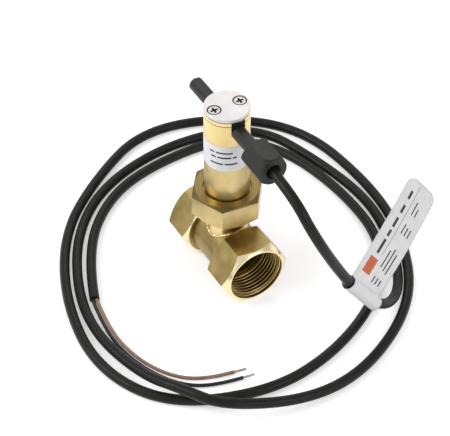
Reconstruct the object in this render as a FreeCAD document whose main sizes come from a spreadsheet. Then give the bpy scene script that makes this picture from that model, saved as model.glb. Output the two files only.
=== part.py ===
# Paddle flow switch for a threaded pipe: a brass tee with a hinged paddle in its bore, a brass tube
# that holds the paddle's magnet, and a plastic reed contact rod clamped across the top of the tube,
# with its gland, its round two-core cable and a folded tag.
# Frame: X is the flow axis, Z the tube's axis, and z = 0 the tee's bottom flats. Millimetres.
import FreeCAD, Part
import math
import os
import Sketcher

doc = FreeCAD.newDocument("paddle_flow_switch")
V = FreeCAD.Vector
X_AXIS = V(1, 0, 0)
Y_AXIS = V(0, 1, 0)
Z_AXIS = V(0, 0, 1)

# ---------------------------------------------------------------- driving sizes
SIZES = {
    # tee: hexagonal G1 ends, a round run, a round neck and the union's collar
    "tee_flats": 38.0,
    "tee_half_length": 33.7,
    "tee_hex_length": 20.7,
    "port_cover": 3.85,
    "port_depth": 17.0,
    "mouth_rise": 1.75,
    "mouth_depth": 2.0,
    "rim_ring": 1.5,
    "rim_edge": 0.6,
    "mouth_slope": 0.65,
    "back_slope": 0.6,
    "corner_spare": 0.6,
    "waist_cover": 0.85,
    "run_wall": 4.0,
    "neck_diameter": 22.4,
    "neck_wall": 2.8,
    "neck_rise": 37.0,
    "collar_height": 7.6,
    "collar_chamfer": 0.8,
    # union nut
    "nut_wall": 2.5,
    "nut_play": 0.3,
    "nut_cover": 9.0,
    "nut_height": 16.0,
    "nut_rim_step": 0.3,
    "nut_top_slope": 0.577,
    "nut_foot_slope": 0.85,
    "nut_turn": -6.8,
    "nut_hole_gap": 0.7,
    # housing tube, its gasket and its clamped top
    "gasket_thickness": 1.5,
    "flange_step": 2.7,
    "flange_play": 0.8,
    "flange_thickness": 1.8,
    "housing_diameter": 26.0,
    "housing_wall": 1.5,
    "chamber_spare": 3.0,
    "chamber_roof": 4.65,
    "slot_spare": 0.8,
    "ring_thickness": 3.0,
    "ring_web": 0.6,
    "notch_play": 0.2,
    "plate_thickness": 2.0,
    "plate_bevel": 0.35,
    "label_drop": 9.6,
    "label_height": 17.7,
    "label_thickness": 0.12,
    "label_gap": 0.03,
    # countersunk cross-recess screws
    "screw_diameter": 3.9,
    "screw_length": 13.0,
    "screw_head": 7.4,
    "screw_edge": 4.9,
    "screw_sink": 0.15,
    "screw_play": 0.1,
    "tap_play": 0.05,
    "recess_width": 0.9,
    "recess_span": 4.2,
    "recess_depth": 1.3,
    # paddle carrier, pivot and paddle
    "fit_gap": 0.1,
    "carrier_wall": 2.1,
    "carrier_spigot": 10.0,
    "carrier_flange": 3.0,
    "ear_width": 6.0,
    "ear_thickness": 3.4,
    "ear_inside": 4.9,
    "ear_rise": 3.4,
    "pivot_rise": 4.0,
    "pin_diameter": 2.0,
    "pin_length": 17.0,
    "pin_fit": 0.02,
    "hub_clearance": 0.05,
    "hub_diameter": 6.0,
    "hub_half_width": 4.3,
    "bush_diameter": 4.6,
    "bush_thickness": 0.45,
    "arm_diameter": 2.8,
    "arm_rise": 33.0,
    "tongue_width": 4.4,
    "tongue_thickness": 1.4,
    "tongue_start": 2.0,
    "tongue_length": 14.0,
    "paddle_drop": 1.0,
    "paddle_thickness": 1.2,
    "rivet_diameter": 1.6,
    "rivet_head": 3.0,
    "rivet_head_height": 0.5,
    "rivet_edge": 2.5,
    "rivet_pitch": 5.5,
    "magnet_diameter": 5.0,
    "magnet_length": 8.0,
    "seat_thickness": 1.4,
    "reset_magnet_diameter": 4.0,
    "reset_magnet_length": 2.9,
    "clip_thickness": 1.25,
    "clip_height": 10.0,
    "clip_start": 3.0,
    # reed contact rod
    "rod_diameter": 8.6,
    "rod_half_length": 37.0,
    "rod_flat_height": 3.6,
    "rod_end_bevel": 1.4,
    "rod_nub_diameter": 2.4,
    "rod_nub_length": 0.8,
    "rod_bore": 5.3,
    "rod_bore_start": -20.0,
    "rod_play": 0.05,
    "pad_width": 8.0,
    "pad_inset": 0.6,
    "pad_play": 0.05,
    "thread_start": 31.2,
    "thread_diameter": 12.0,
    "glass_diameter": 2.4,
    "glass_half_length": 8.0,
    "sleeve_diameter": 3.9,
    "sleeve_half_length": 10.0,
    "sleeve_play": 0.04,
    "lead_diameter": 0.5,
    "lead_return": 2.3,
    "lead_turn": 3.0,
    "potting_start": 24.0,
    # cable gland
    "gland_flats": 17.0,
    "gland_turn": 10.0,
    "gland_back": 31.0,
    "gland_hex_end": 45.8,
    "gland_front": 49.5,
    "gland_nose_diameter": 16.4,
    "gland_back_bevel": 1.0,
    "gland_wall": 5.3,
    "gland_play": 0.5,
    "gland_mouth": 9.4,
    "gland_mouth_depth": 1.2,
    "washer_thickness": 1.0,
    "seal_play": 0.15,
    # cable, cores and tag
    "cable_diameter": 6.0,
    "core_diameter": 2.1,
    "wire_diameter": 1.0,
    "tag_length": 70.0,
    "tag_width": 31.0,
    "tag_thickness": 0.8,
    "tag_loop": 8.0,
    "tag_wall": 0.4,
    "tag_corner": 6.0,
}

sheet = doc.addObject("Spreadsheet::Sheet", "dims")
for row, (alias, value) in enumerate(SIZES.items(), start=1):
    sheet.set("A%d" % row, alias.replace("_", " "))
    sheet.set("B%d" % row, repr(value))
    sheet.setAlias("B%d" % row, alias)

# Sizes that follow others. The port and the run follow the tee's hexagon, the union follows the
# housing tube, and the heights follow one another upwards from the tee's bottom flats.
DERIVED = {
    "port_wall_diameter": "tee_flats - 2 * port_cover",
    "port_mouth_diameter": "port_wall_diameter + 2 * mouth_rise",
    "tee_rim_diameter": "port_mouth_diameter + 2 * rim_ring",
    "waist_diameter": "port_wall_diameter + 2 * waist_cover",
    "flow_bore": "waist_diameter - 2 * run_wall",
    "branch_bore": "neck_diameter - 2 * neck_wall",
    "flange_diameter": "housing_diameter + 2 * flange_step",
    "nut_bore": "flange_diameter + 2 * flange_play",
    "nut_flats": "nut_bore + 2 * nut_wall",
    "collar_diameter": "nut_bore - 2 * nut_play",
    "housing_bore": "housing_diameter - 2 * housing_wall",
    "gasket_bore": "housing_bore + 2 * fit_gap",
    "screw_spacing": "housing_diameter - 2 * screw_edge",
    "notch_width": "pad_width + 2 * notch_play",
    "pad_half_length": "housing_diameter / 2 - pad_inset",
    "carrier_bore": "branch_bore - 2 * fit_gap - 2 * carrier_wall",
    "paddle_diameter": "branch_bore - 2 * fit_gap",
    "paddle_height": "tee_flats / 2 - paddle_drop",
    "tongue_bottom": "paddle_height + tongue_start",
    "tongue_top": "tongue_bottom + tongue_length",
    "rivet_low": "tongue_bottom + rivet_edge",
    "collar_top": "tee_flats / 2 + neck_rise",
    "collar_bottom": "collar_top - collar_height",
    "nut_bottom": "collar_top - nut_cover",
    "nut_top": "nut_bottom + nut_height",
    "pivot_height": "collar_top + pivot_rise",
    "magnet_bottom": "pivot_height + arm_rise",
    "reset_height": "magnet_bottom + magnet_length / 2",
    "chamber_top": "magnet_bottom + magnet_length + chamber_spare",
    "rod_height": "chamber_top + chamber_roof + rod_play + rod_diameter / 2",
    "housing_top": "rod_height + rod_diameter / 2 + slot_spare",
    "label_top": "rod_height - label_drop",
    "label_bottom": "label_top - label_height",
    "gland_hole": "cable_diameter + 2 * gland_play",
    "seal_bore": "cable_diameter + 2 * seal_play",
}
for row, (alias, formula) in enumerate(DERIVED.items(), start=len(SIZES) + 1):
    sheet.set("A%d" % row, alias.replace("_", " "))
    sheet.set("B%d" % row, "=" + formula)
    sheet.setAlias("B%d" % row, alias)
doc.recompute()


def size(alias):
    """Read one driving size back from the sheet."""
    return float(sheet.get(alias))


# ---------------------------------------------------------------- modelling helpers
def bind(item, **links):
    """Tie properties to expressions over the sheet; __ in a name stands for a dot."""
    for name, link in links.items():
        item.setExpression(name.replace("__", "."), link)
    return item


def place(item, x="0", y="0", z="0"):
    """Tie the three coordinates of an object's position to expressions."""
    for key, link in (("x", x), ("y", y), ("z", z)):
        if link != "0":
            item.setExpression("Placement.Base." + key, link)
    return item


def outline(body, name, role, points):
    """Closed sketch polygon on an origin plane, each corner held by two dimensions."""
    sketch = body.newObject("Sketcher::SketchObject", name)
    plane = [item for item in body.Origin.OriginFeatures if item.Role == role][0]
    sketch.AttachmentSupport = [(plane, "")]
    sketch.MapMode = "FlatFace"
    count = len(points)
    start = []
    for index in range(count):
        angle = 2 * math.pi * index / count
        start.append(V(10 * math.cos(angle), 10 * math.sin(angle), 0))
    for index in range(count):
        sketch.addGeometry(Part.LineSegment(start[index], start[(index + 1) % count]))
    for index in range(count):
        sketch.addConstraint(Sketcher.Constraint("Coincident", index, 2, (index + 1) % count, 1))
    for index, (across, up) in enumerate(points):
        for kind, link, axis in (("DistanceX", across, -2), ("DistanceY", up, -1)):
            if link == "0":
                sketch.addConstraint(Sketcher.Constraint("PointOnObject", index, 1, axis))
            else:
                number = sketch.addConstraint(Sketcher.Constraint(kind, -1, 1, index, 1, 1.0))
                sketch.setExpression("Constraints[%d]" % number, link)
    return sketch


def turned(name, points, axis):
    """Body turned from a half profile in the XZ plane, about X (H_Axis) or Z (V_Axis)."""
    body = doc.addObject("PartDesign::Body", name)
    sketch = outline(body, name + "_profile", "XZ_Plane", points)
    feature = body.newObject("PartDesign::Revolution", name + "_turn")
    feature.Profile = sketch
    feature.ReferenceAxis = (sketch, [axis])
    feature.Angle = 360
    body.Tip = feature
    return body


def rod(name, diameter, length, direction=Z_AXIS):
    """Cylinder whose diameter and length are expressions, along an axis."""
    item = doc.addObject("Part::Cylinder", name)
    item.Placement = FreeCAD.Placement(V(0, 0, 0), FreeCAD.Rotation(Z_AXIS, direction))
    return bind(item, Radius="(%s) / 2" % diameter, Height=length)


def block(name, length, width, height):
    """Box whose three sizes are expressions."""
    item = doc.addObject("Part::Box", name)
    return bind(item, Length=length, Width=width, Height=height)


def prism(name, flats, length, rotation):
    """Hexagonal bar given by its width across flats."""
    item = doc.addObject("Part::Prism", name)
    item.Polygon = 6
    item.Placement = FreeCAD.Placement(V(0, 0, 0), rotation)
    return bind(item, Circumradius="(%s) / sqrt(3)" % flats, Height=length)


def cut(name, base, tool):
    item = doc.addObject("Part::Cut", name)
    item.Base = base
    item.Tool = tool
    return item


def fuse(name, *shapes):
    item = doc.addObject("Part::MultiFuse", name)
    item.Shapes = list(shapes)
    item.Refine = True
    return item


def common(name, base, tool):
    item = doc.addObject("Part::Common", name)
    item.Base = base
    item.Tool = tool
    return item


def tube(name, outer, inner, length, direction=Z_AXIS):
    """Plain ring or tube from two diameters and a length."""
    return cut(name, rod(name + "_outside", outer, length, direction),
               rod(name + "_inside", inner, length, direction))


nodes = {}


def node(name, item):
    """Register a finished sub-part under its own label."""
    item.Label = name
    nodes[name] = item
    return item


ALONG_X = FreeCAD.Rotation(Y_AXIS, 90)
CORNERS_OUT = FreeCAD.Rotation(Z_AXIS, 30)

# ---------------------------------------------------------------- brazed tee
# Two turned sockets with hexagons, a round run between them and a neck with the union's collar.
CORNER = "dims.tee_flats / sqrt(3) + dims.corner_spare"
HEX_START = "(dims.tee_half_length - dims.tee_hex_length)"
SEAT = "(dims.tee_half_length - dims.port_depth)"
BEVEL = "(" + CORNER + " - dims.tee_rim_diameter / 2)"
LIP = "(dims.tee_half_length - dims.rim_edge)"
MOUTH_FLOOR = "(dims.tee_half_length - dims.mouth_depth)"
TEE_AXIS = "dims.tee_flats / 2"
for end_name, side in (("inlet_end", "-"), ("outlet_end", "")):
    # The turned profile gives the bevels, the wall and the shoulder, the hexagonal bar the flats.
    profile = turned(end_name + "_turned", [
        (side + HEX_START, "dims.flow_bore / 2"),
        (side + SEAT, "dims.flow_bore / 2"),
        (side + SEAT, "dims.port_wall_diameter / 2"),
        (side + MOUTH_FLOOR, "dims.port_wall_diameter / 2"),
        (side + MOUTH_FLOOR, "dims.port_mouth_diameter / 2"),
        (side + "dims.tee_half_length", "dims.port_mouth_diameter / 2"),
        (side + "dims.tee_half_length", "dims.tee_rim_diameter / 2 - dims.rim_edge"),
        (side + LIP, "dims.tee_rim_diameter / 2"),
        (side + "(" + LIP + " - " + BEVEL + " * dims.mouth_slope)", CORNER),
        (side + "(" + HEX_START + " + " + BEVEL + " * dims.back_slope)", CORNER),
        (side + HEX_START, "dims.tee_rim_diameter / 2"),
    ], "H_Axis")
    bar = prism(end_name + "_bar", "dims.tee_flats", "2 * dims.tee_half_length", ALONG_X * CORNERS_OUT)
    place(bar, x="-dims.tee_half_length")
    socket = node(end_name, common(end_name, bar, profile))
    place(socket, z=TEE_AXIS)

run_outside = rod("run_outside", "dims.waist_diameter", "2 * " + HEX_START, X_AXIS)
run_inside = rod("run_inside", "dims.flow_bore", "2 * " + HEX_START, X_AXIS)
branch_hole = rod("branch_hole", "dims.branch_bore", "dims.collar_top")
place(run_outside, x="-" + HEX_START)
place(run_inside, x="-" + HEX_START)
run = node("tee_run", cut("tee_run", run_outside, fuse("run_hollow", run_inside, branch_hole)))
place(run, z=TEE_AXIS)

# The neck's foot is cut to the saddle of the run that it is brazed to.
neck_turned = turned("neck_turned", [
    ("0", "0"),
    ("dims.neck_diameter / 2", "0"),
    ("dims.neck_diameter / 2", "dims.collar_bottom - dims.tee_flats / 2"),
    ("dims.collar_diameter / 2 - dims.collar_chamfer", "dims.collar_bottom - dims.tee_flats / 2"),
    ("dims.collar_diameter / 2", "dims.collar_bottom + dims.collar_chamfer - dims.tee_flats / 2"),
    ("dims.collar_diameter / 2", "dims.collar_top - dims.collar_chamfer - dims.tee_flats / 2"),
    ("dims.collar_diameter / 2 - dims.collar_chamfer", "dims.collar_top - dims.tee_flats / 2"),
    ("0", "dims.collar_top - dims.tee_flats / 2"),
], "V_Axis")
saddle = rod("saddle", "dims.waist_diameter", "4 * " + HEX_START, X_AXIS)
place(saddle, x="-2 * " + HEX_START)
neck_hole = rod("neck_hole", "dims.branch_bore", "dims.collar_top")
neck = node("tee_neck", cut("tee_neck", neck_turned, fuse("neck_cuts", saddle, neck_hole)))
place(neck, z=TEE_AXIS)

# ---------------------------------------------------------------- union nut
NUT_CORNER = "dims.nut_flats / sqrt(3) + dims.corner_spare"
NUT_RIM = "dims.nut_flats / 2 - dims.nut_rim_step"
NUT_BEVEL = "(" + NUT_CORNER + " - " + NUT_RIM + ")"
NUT_SHOULDER = "(dims.collar_top + dims.gasket_thickness + dims.flange_thickness - dims.nut_bottom)"
nut_bore = "dims.nut_bore / 2"
nut_hole = "(dims.housing_diameter / 2 + dims.nut_hole_gap)"
nut_turned = turned("nut_turned", [
    (nut_bore + " + 1", "0"),
    (NUT_RIM, "0"),
    (NUT_CORNER, NUT_BEVEL + " * dims.nut_foot_slope"),
    (NUT_CORNER, "dims.nut_top - dims.nut_bottom - " + NUT_BEVEL + " * dims.nut_top_slope"),
    (NUT_RIM, "dims.nut_top - dims.nut_bottom"),
    (nut_hole + " + 0.4", "dims.nut_top - dims.nut_bottom"),
    (nut_hole, "dims.nut_top - dims.nut_bottom - 0.4"),
    (nut_hole, NUT_SHOULDER),
    (nut_bore, NUT_SHOULDER),
    (nut_bore, "1"),
], "V_Axis")
nut_bar = prism("nut_bar", "dims.nut_flats", "dims.nut_top - dims.nut_bottom", CORNERS_OUT)
nut = node("union_nut", common("union_nut", nut_bar, nut_turned))
nut.Placement = FreeCAD.Placement(V(0, 0, 0), FreeCAD.Rotation(Z_AXIS, size("nut_turn")))
place(nut, z="dims.nut_bottom")

# ---------------------------------------------------------------- gasket and housing tube
gasket = node("housing_gasket", tube("housing_gasket", "dims.flange_diameter", "dims.gasket_bore",
                                     "dims.gasket_thickness"))
place(gasket, z="dims.collar_top")

HOUSING_BASE = "(dims.collar_top + dims.gasket_thickness)"
housing_turned = turned("housing_turned", [
    ("dims.housing_bore / 2", "0"),
    ("dims.flange_diameter / 2", "0"),
    ("dims.flange_diameter / 2", "dims.flange_thickness"),
    ("dims.housing_diameter / 2", "dims.flange_thickness"),
    ("dims.housing_diameter / 2", "dims.housing_top - " + HOUSING_BASE),
    ("0", "dims.housing_top - " + HOUSING_BASE),
    ("0", "dims.chamber_top - " + HOUSING_BASE),
    ("dims.housing_bore / 2", "dims.chamber_top - " + HOUSING_BASE),
], "V_Axis")
place(housing_turned, z=HOUSING_BASE)
# The rod's cross bore is open at the top, as a slot of the bore's own width.
SLOT = "(dims.rod_diameter + 2 * dims.rod_play)"
cross_bore = rod("cross_bore", SLOT, "dims.housing_diameter + 4", X_AXIS)
place(cross_bore, x="-dims.housing_diameter / 2 - 2", z="dims.rod_height")
cross_slot = block("cross_slot", "dims.housing_diameter + 4", SLOT,
                   "dims.housing_top - dims.rod_height + 2")
place(cross_slot, x="-dims.housing_diameter / 2 - 2", y="-" + SLOT + " / 2", z="dims.rod_height")
TAP = "(dims.screw_diameter + 2 * dims.tap_play)"
taps = []
for side, sign in (("left", "-"), ("right", "")):
    tap = rod("tap_" + side, TAP, "dims.screw_length")
    place(tap, y=sign + "dims.screw_spacing / 2",
          z="dims.housing_top - dims.screw_length + dims.ring_thickness")
    taps.append(tap)
housing_cuts = fuse("housing_cuts", cross_bore, cross_slot, *taps)
node("switch_housing", cut("switch_housing", housing_turned, housing_cuts))

# ---------------------------------------------------------------- clamp ring, pad, cover and screws
ring_disc = rod("ring_disc", "dims.housing_diameter", "dims.ring_thickness")
place(ring_disc, z="dims.housing_top")
ring_notch = block("ring_notch", "dims.housing_diameter + 4", "dims.notch_width",
                   "dims.ring_thickness - dims.ring_web")
place(ring_notch, x="-dims.housing_diameter / 2 - 2", y="-dims.notch_width / 2", z="dims.housing_top")
PASS = "(dims.screw_diameter + 2 * dims.screw_play)"
ring_holes = []
for side, sign in (("left", "-"), ("right", "")):
    hole = rod("ring_hole_" + side, PASS, "dims.ring_thickness")
    place(hole, y=sign + "dims.screw_spacing / 2", z="dims.housing_top")
    ring_holes.append(hole)
node("clamp_ring", cut("clamp_ring", ring_disc, fuse("ring_cuts", ring_notch, *ring_holes)))

PAD_BASE = "(dims.rod_height + dims.rod_flat_height + dims.pad_play)"
pad = block("clamp_pad", "2 * dims.pad_half_length", "dims.pad_width",
            "dims.housing_top + dims.ring_thickness - dims.ring_web - " + PAD_BASE)
node("clamp_pad", place(pad, x="-dims.pad_half_length", y="-dims.pad_width / 2", z=PAD_BASE))

COVER_BASE = "(dims.housing_top + dims.ring_thickness)"
cover_disc = turned("cover_disc", [
    ("0", "0"),
    ("dims.housing_diameter / 2", "0"),
    ("dims.housing_diameter / 2", "dims.plate_thickness - dims.plate_bevel"),
    ("dims.housing_diameter / 2 - dims.plate_bevel", "dims.plate_thickness"),
    ("0", "dims.plate_thickness"),
], "V_Axis")
place(cover_disc, z=COVER_BASE)
SINK_TOP = "(dims.screw_head / 2 + dims.screw_sink + 2 * dims.screw_play)"
sinks = []
screws = []
for side, sign in (("left", "-"), ("right", "")):
    sink = turned("sink_" + side, [
        ("0", "0"),
        (PASS + " / 2", "0"),
        (PASS + " / 2", "dims.plate_thickness - " + SINK_TOP + " + " + PASS + " / 2"),
        (SINK_TOP, "dims.plate_thickness"),
        ("0", "dims.plate_thickness"),
    ], "V_Axis")
    place(sink, y=sign + "dims.screw_spacing / 2", z=COVER_BASE)
    sinks.append(sink)
    HEAD_TOP = "(dims.screw_length + dims.plate_thickness - dims.screw_sink)"
    stem = turned("screw_stem_" + side, [
        ("0", "0"),
        ("dims.screw_diameter / 2 - 0.5", "0"),
        ("dims.screw_diameter / 2", "0.5"),
        ("dims.screw_diameter / 2", HEAD_TOP + " - dims.screw_head / 2 + dims.screw_diameter / 2"),
        ("dims.screw_head / 2", HEAD_TOP),
        ("0", HEAD_TOP),
    ], "V_Axis")
    arm_one = block("recess_one_" + side, "dims.recess_span", "dims.recess_width", "dims.recess_depth")
    FLOOR = HEAD_TOP + " - dims.recess_depth"
    place(arm_one, x="-dims.recess_span / 2", y="-dims.recess_width / 2", z=FLOOR)
    arm_two = block("recess_two_" + side, "dims.recess_width", "dims.recess_span", "dims.recess_depth")
    place(arm_two, x="-dims.recess_width / 2", y="-dims.recess_span / 2", z=FLOOR)
    screw = cut("screw_" + side, stem, fuse("recess_" + side, arm_one, arm_two))
    place(screw, y=sign + "dims.screw_spacing / 2", z=COVER_BASE + " - dims.screw_length")
    screws.append(screw)
node("cover_plate", cut("cover_plate", cover_disc, fuse("cover_sinks", *sinks)))
pair = doc.addObject("Part::Compound", "cover_screws")
pair.Links = screws
node("cover_screws", pair)

label = node("tube_label", tube("tube_label",
                                "dims.housing_diameter + 2 * dims.label_gap + 2 * dims.label_thickness",
                                "dims.housing_diameter + 2 * dims.label_gap",
                                "dims.label_top - dims.label_bottom"))
place(label, z="dims.label_bottom")

# ---------------------------------------------------------------- paddle carrier with its pin
carrier_turned = turned("carrier_turned", [
    ("dims.carrier_bore / 2", "-dims.carrier_spigot"),
    ("dims.branch_bore / 2 - dims.fit_gap", "-dims.carrier_spigot"),
    ("dims.branch_bore / 2 - dims.fit_gap", "0"),
    ("dims.gasket_bore / 2 - 2 * dims.fit_gap", "0"),
    ("dims.gasket_bore / 2 - 2 * dims.fit_gap", "dims.gasket_thickness - 0.1"),
    ("dims.housing_bore / 2 - 2 * dims.fit_gap", "dims.gasket_thickness - 0.1"),
    ("dims.housing_bore / 2 - 2 * dims.fit_gap", "dims.carrier_flange"),
    ("dims.carrier_bore / 2", "dims.carrier_flange"),
], "V_Axis")
place(carrier_turned, z="dims.collar_top")
EAR_BASE = "(dims.collar_top + dims.carrier_flange - 0.5)"
ears = []
for side, start in (("left", "-dims.ear_inside - dims.ear_thickness"), ("right", "dims.ear_inside")):
    ear = block("ear_" + side, "dims.ear_width", "dims.ear_thickness",
                "dims.pivot_height + dims.ear_rise - " + EAR_BASE)
    place(ear, x="-dims.ear_width / 2", y=start, z=EAR_BASE)
    ears.append(ear)
carrier_blank = fuse("carrier_blank", carrier_turned, *ears)
pin_hole = rod("pin_hole", "dims.pin_diameter + 2 * dims.pin_fit", "dims.pin_length + 4", Y_AXIS)
place(pin_hole, y="-dims.pin_length / 2 - 2", z="dims.pivot_height")
node("paddle_carrier", cut("paddle_carrier", carrier_blank, pin_hole))

pin = rod("pivot_pin", "dims.pin_diameter", "dims.pin_length", Y_AXIS)
node("pivot_pin", place(pin, y="-dims.pin_length / 2", z="dims.pivot_height"))

bushes = []
for side, start in (("left", "-dims.ear_inside"), ("right", "dims.ear_inside - dims.bush_thickness")):
    bush = tube("bush_" + side, "dims.bush_diameter", "dims.pin_diameter + 2 * dims.pin_fit",
                "dims.bush_thickness", Y_AXIS)
    place(bush, y=start, z="dims.pivot_height")
    bushes.append(bush)
bush_pair = doc.addObject("Part::Compound", "pivot_bushes")
bush_pair.Links = bushes
node("pivot_bushes", bush_pair)

# ---------------------------------------------------------------- paddle: arm, disc, rivets, magnet
hub = rod("hub", "dims.hub_diameter", "2 * dims.hub_half_width", Y_AXIS)
place(hub, y="-dims.hub_half_width", z="dims.pivot_height")
stalk = rod("stalk", "dims.arm_diameter", "dims.magnet_bottom - dims.tongue_top + 2")
place(stalk, z="dims.tongue_top - 2")
tongue = block("tongue", "dims.tongue_thickness", "dims.tongue_width",
               "dims.tongue_top - dims.tongue_bottom")
place(tongue, x="dims.paddle_thickness / 2", y="-dims.tongue_width / 2", z="dims.tongue_bottom")
seat = rod("seat", "dims.magnet_diameter", "dims.seat_thickness")
place(seat, z="dims.magnet_bottom - dims.seat_thickness")
arm_blank = fuse("arm_blank", hub, stalk, tongue, seat)
hub_hole = rod("hub_hole", "dims.pin_diameter + 2 * dims.hub_clearance", "2 * dims.hub_half_width + 2",
               Y_AXIS)
place(hub_hole, y="-dims.hub_half_width - 1", z="dims.pivot_height")
RIVET_HOLE = "dims.rivet_diameter"
rivet_holes = []
rivets = []
for number, height in (("low", "dims.rivet_low"), ("high", "dims.rivet_low + dims.rivet_pitch")):
    hole = rod("rivet_hole_" + number, RIVET_HOLE, "12", X_AXIS)
    place(hole, x="-6", z=height)
    rivet_holes.append(hole)
    STACK = "(dims.paddle_thickness + dims.tongue_thickness)"
    rivet = turned("rivet_" + number, [
        ("-dims.rivet_head_height", "0"),
        (STACK + " + dims.rivet_head_height", "0"),
        (STACK + " + dims.rivet_head_height", "dims.rivet_head / 2"),
        (STACK, "dims.rivet_head / 2"),
        (STACK, "dims.rivet_diameter / 2 - 0.02"),
        ("0", "dims.rivet_diameter / 2 - 0.02"),
        ("0", "dims.rivet_head / 2"),
        ("-dims.rivet_head_height", "dims.rivet_head / 2"),
    ], "H_Axis")
    place(rivet, x="-dims.paddle_thickness / 2", z=height)
    rivets.append(rivet)
arm_holes = fuse("arm_holes", hub_hole, *rivet_holes)
node("paddle_arm", cut("paddle_arm", arm_blank, arm_holes))

disc = rod("disc", "dims.paddle_diameter", "dims.paddle_thickness", X_AXIS)
place(disc, x="-dims.paddle_thickness / 2", z="dims.paddle_height")
tab = block("tab", "dims.paddle_thickness", "dims.tongue_width", "dims.tongue_top - 2 - dims.tongue_bottom")
place(tab, x="-dims.paddle_thickness / 2", y="-dims.tongue_width / 2", z="dims.tongue_bottom")
disc_holes = []
for number, height in (("low", "dims.rivet_low"), ("high", "dims.rivet_low + dims.rivet_pitch")):
    hole = rod("disc_hole_" + number, RIVET_HOLE, "12", X_AXIS)
    place(hole, x="-6", z=height)
    disc_holes.append(hole)
node("paddle_disc", cut("paddle_disc", fuse("disc_blank", disc, tab), fuse("disc_cuts", *disc_holes)))
rivet_pair = doc.addObject("Part::Compound", "paddle_rivets")
rivet_pair.Links = rivets
node("paddle_rivets", rivet_pair)

magnet = rod("paddle_magnet", "dims.magnet_diameter", "dims.magnet_length")
node("paddle_magnet", place(magnet, z="dims.magnet_bottom"))

# ---------------------------------------------------------------- fixed reset magnet in its clip
clip_shell = tube("clip_shell", "dims.housing_bore - 2 * dims.fit_gap / 2",
                  "dims.housing_bore - 2 * dims.fit_gap / 2 - 2 * dims.clip_thickness", "dims.clip_height")
place(clip_shell, z="dims.reset_height - dims.clip_height / 2")
clip_side = block("clip_side", "dims.housing_bore", "dims.housing_bore", "dims.clip_height + 2")
place(clip_side, x="dims.clip_start", y="-dims.housing_bore / 2",
      z="dims.reset_height - dims.clip_height / 2 - 1")
clip_half = common("clip_half", clip_shell, clip_side)
clip_hole = rod("clip_hole", "dims.reset_magnet_diameter", "dims.housing_bore", X_AXIS)
place(clip_hole, z="dims.reset_height")
node("magnet_clip", cut("magnet_clip", clip_half, clip_hole))
reset = rod("reset_magnet", "dims.reset_magnet_diameter - 0.06", "dims.reset_magnet_length", X_AXIS)
node("reset_magnet", place(reset, x="dims.housing_bore / 2 - 0.35 - dims.reset_magnet_length",
                           z="dims.reset_height"))

# ---------------------------------------------------------------- reed contact rod
rod_turned = turned("rod_turned", [
    ("-dims.rod_half_length", "0"),
    ("dims.rod_half_length", "0"),
    ("dims.rod_half_length", "dims.thread_diameter / 2"),
    ("dims.thread_start", "dims.thread_diameter / 2"),
    ("dims.thread_start", "dims.rod_diameter / 2"),
    ("-dims.rod_half_length + dims.rod_nub_length + dims.rod_end_bevel", "dims.rod_diameter / 2"),
    ("-dims.rod_half_length + dims.rod_nub_length", "dims.rod_diameter / 2 - dims.rod_end_bevel"),
    ("-dims.rod_half_length + dims.rod_nub_length", "dims.rod_nub_diameter / 2"),
    ("-dims.rod_half_length", "dims.rod_nub_diameter / 2"),
], "H_Axis")
place(rod_turned, z="dims.rod_height")
rod_flat = block("rod_flat", "dims.rod_half_length + dims.thread_start", "dims.rod_diameter + 2", "6")
place(rod_flat, x="-dims.rod_half_length", y="-dims.rod_diameter / 2 - 1",
      z="dims.rod_height + dims.rod_flat_height")
rod_hollow = rod("rod_hollow", "dims.rod_bore", "dims.rod_half_length - dims.rod_bore_start + 1", X_AXIS)
place(rod_hollow, x="dims.rod_bore_start", z="dims.rod_height")
node("reed_rod", cut("reed_rod", rod_turned, fuse("rod_cuts", rod_flat, rod_hollow)))

glass = rod("reed_contact", "dims.glass_diameter", "2 * dims.glass_half_length", X_AXIS)
node("reed_contact", place(glass, x="-dims.glass_half_length", z="dims.rod_height"))
sleeve = tube("reed_sleeve", "dims.sleeve_diameter", "dims.glass_diameter + 2 * dims.sleeve_play",
              "2 * dims.sleeve_half_length", X_AXIS)
node("reed_sleeve", place(sleeve, x="-dims.sleeve_half_length", z="dims.rod_height"))
lead_near = rod("lead_near", "dims.lead_diameter", "dims.potting_start - dims.glass_half_length", X_AXIS)
place(lead_near, x="dims.glass_half_length", z="dims.rod_height")
lead_out = rod("lead_out", "dims.lead_diameter", "dims.lead_turn + dims.lead_diameter / 2", X_AXIS)
place(lead_out, x="-dims.glass_half_length - dims.lead_turn - dims.lead_diameter / 2", z="dims.rod_height")
lead_up = rod("lead_up", "dims.lead_diameter", "dims.lead_return + dims.lead_diameter / 2")
place(lead_up, x="-dims.glass_half_length - dims.lead_turn", z="dims.rod_height")
lead_back = rod("lead_back", "dims.lead_diameter",
                "dims.potting_start + dims.glass_half_length + dims.lead_turn", X_AXIS)
place(lead_back, x="-dims.glass_half_length - dims.lead_turn", z="dims.rod_height + dims.lead_return")
lead_far = fuse("lead_far", lead_out, lead_up, lead_back)
leads = doc.addObject("Part::Compound", "reed_leads")
leads.Links = [lead_near, lead_far]
node("reed_leads", leads)
potting = rod("rod_potting", "dims.rod_bore - 0.04", "dims.rod_half_length - dims.potting_start", X_AXIS)
node("rod_potting", place(potting, x="dims.potting_start", z="dims.rod_height"))

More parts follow.
